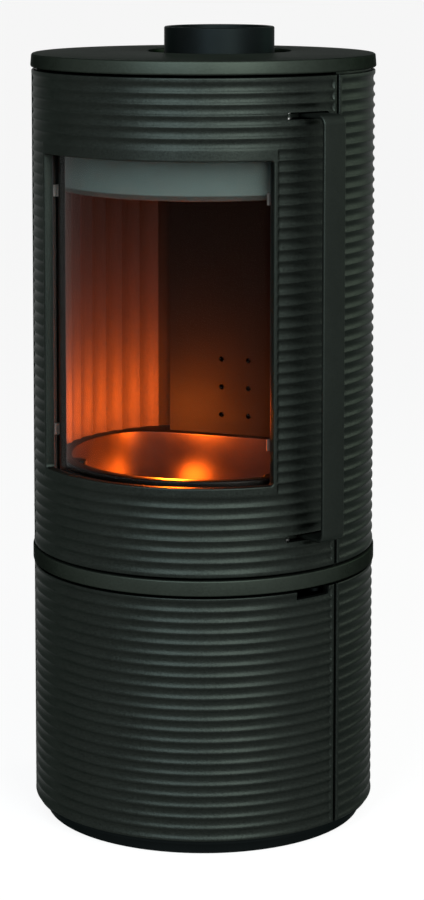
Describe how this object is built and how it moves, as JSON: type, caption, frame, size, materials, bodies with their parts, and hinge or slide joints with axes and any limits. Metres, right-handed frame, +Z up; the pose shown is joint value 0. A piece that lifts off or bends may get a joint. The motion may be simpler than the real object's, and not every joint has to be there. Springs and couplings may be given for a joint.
{
  "type": "wood stove",
  "caption": "Tall round cast iron wood stove with level fluted castings, curved glass fire door, strip handle, fluted lower door, air lever and rear-set top flue collar.",
  "frame": {"origin": "centre of the plinth's underside, on the floor", "axes": "+Z up, doors face -Y, +X to the right of someone facing the stove"},
  "size_m": [0.4707, 0.4629, 1.0612],
  "materials": {
    "cast_iron": "satin black stove paint on cast iron",
    "dark_iron": "matt black",
    "firebox_steel": "matt heat-proof black",
    "bowl_iron": "smooth, slightly polished",
    "lining": "fine cast surface",
    "baffle_grey": "matt grey",
    "bright_steel": "bright drawn steel",
    "handle_paint": "satin black paint on steel strip",
    "window_glass": "clear ceramic glass",
    "rope": "braided glass fibre rope, dark grey"
  },
  "bodies": {
    "stove_body": {"plinth": "dark_iron", "base_plate": "dark_iron", "lower_right_casing": "cast_iron", "lower_rear_casing": "cast_iron", "lower_left_casing": "cast_iron", "lower_tie_rods": "bright_steel", "magnet_catch": "firebox_steel", "mid_plate": "cast_iron", "ash_housing": "firebox_steel", "ash_pan": "firebox_steel", "valve_pivot": "bright_steel", "firebox_shell": "firebox_steel", "firebox_frame": "firebox_steel", "firebox_top": "firebox_steel", "flue_collar": "dark_iron", "collar_bolts": "bright_steel", "top_plate": "cast_iron", "upper_right_casing": "cast_iron", "upper_rear_casing": "cast_iron", "upper_left_casing": "cast_iron", "upper_tie_rods": "bright_steel", "side_lining_right": "lining", "side_lining_left": "lining", "rear_lining": "lining", "rear_air_duct": "firebox_steel", "smoke_baffle": "dark_iron", "air_wash_plate": "baffle_grey", "fire_bowl": "bowl_iron", "grate": "dark_iron", "keeper_bracket": "firebox_steel", "keeper_pin": "bright_steel"},
    "fire_door": {"door_casting": "cast_iron", "door_glass": "window_glass", "glass_seal": "rope", "glass_clips": "bright_steel", "clip_screws": "bright_steel", "door_rope_seal": "rope", "fire_door_pins": "bright_steel", "latch_bearings": "bright_steel"},
    "door_handle": {"handle_bar": "handle_paint", "latch_shaft": "bright_steel", "latch_hook": "bright_steel"},
    "lower_door": {"lower_door_casting": "cast_iron", "lower_door_pins": "bright_steel", "strike_plate": "bright_steel"},
    "air_control": {"air_lever": "bright_steel", "air_valve_disc": "bright_steel"}
  },
  "joints": [
    {"name": "fire_door_swing", "type": "hinge", "parent": "stove_body", "child": "fire_door", "pos_m": [-0.20386, -0.08789, 0.7], "axis": [0, 0, -1], "range_deg": [0, 105]},
    {"name": "handle_turn", "type": "hinge", "parent": "fire_door", "child": "door_handle", "pos_m": [0.16561, -0.13315, 0.7], "axis": [0, 0, -1], "range_deg": [0, 7]},
    {"name": "lower_door_swing", "type": "hinge", "parent": "stove_body", "child": "lower_door", "pos_m": [-0.20386, -0.08789, 0.18], "axis": [0, 0, -1], "range_deg": [0, 105]},
    {"name": "air_lever_swing", "type": "hinge", "parent": "stove_body", "child": "air_control", "pos_m": [0.09492, -0.05558, 0.337], "axis": [0, 0, -1], "range_deg": [0, 17]}
  ]
}
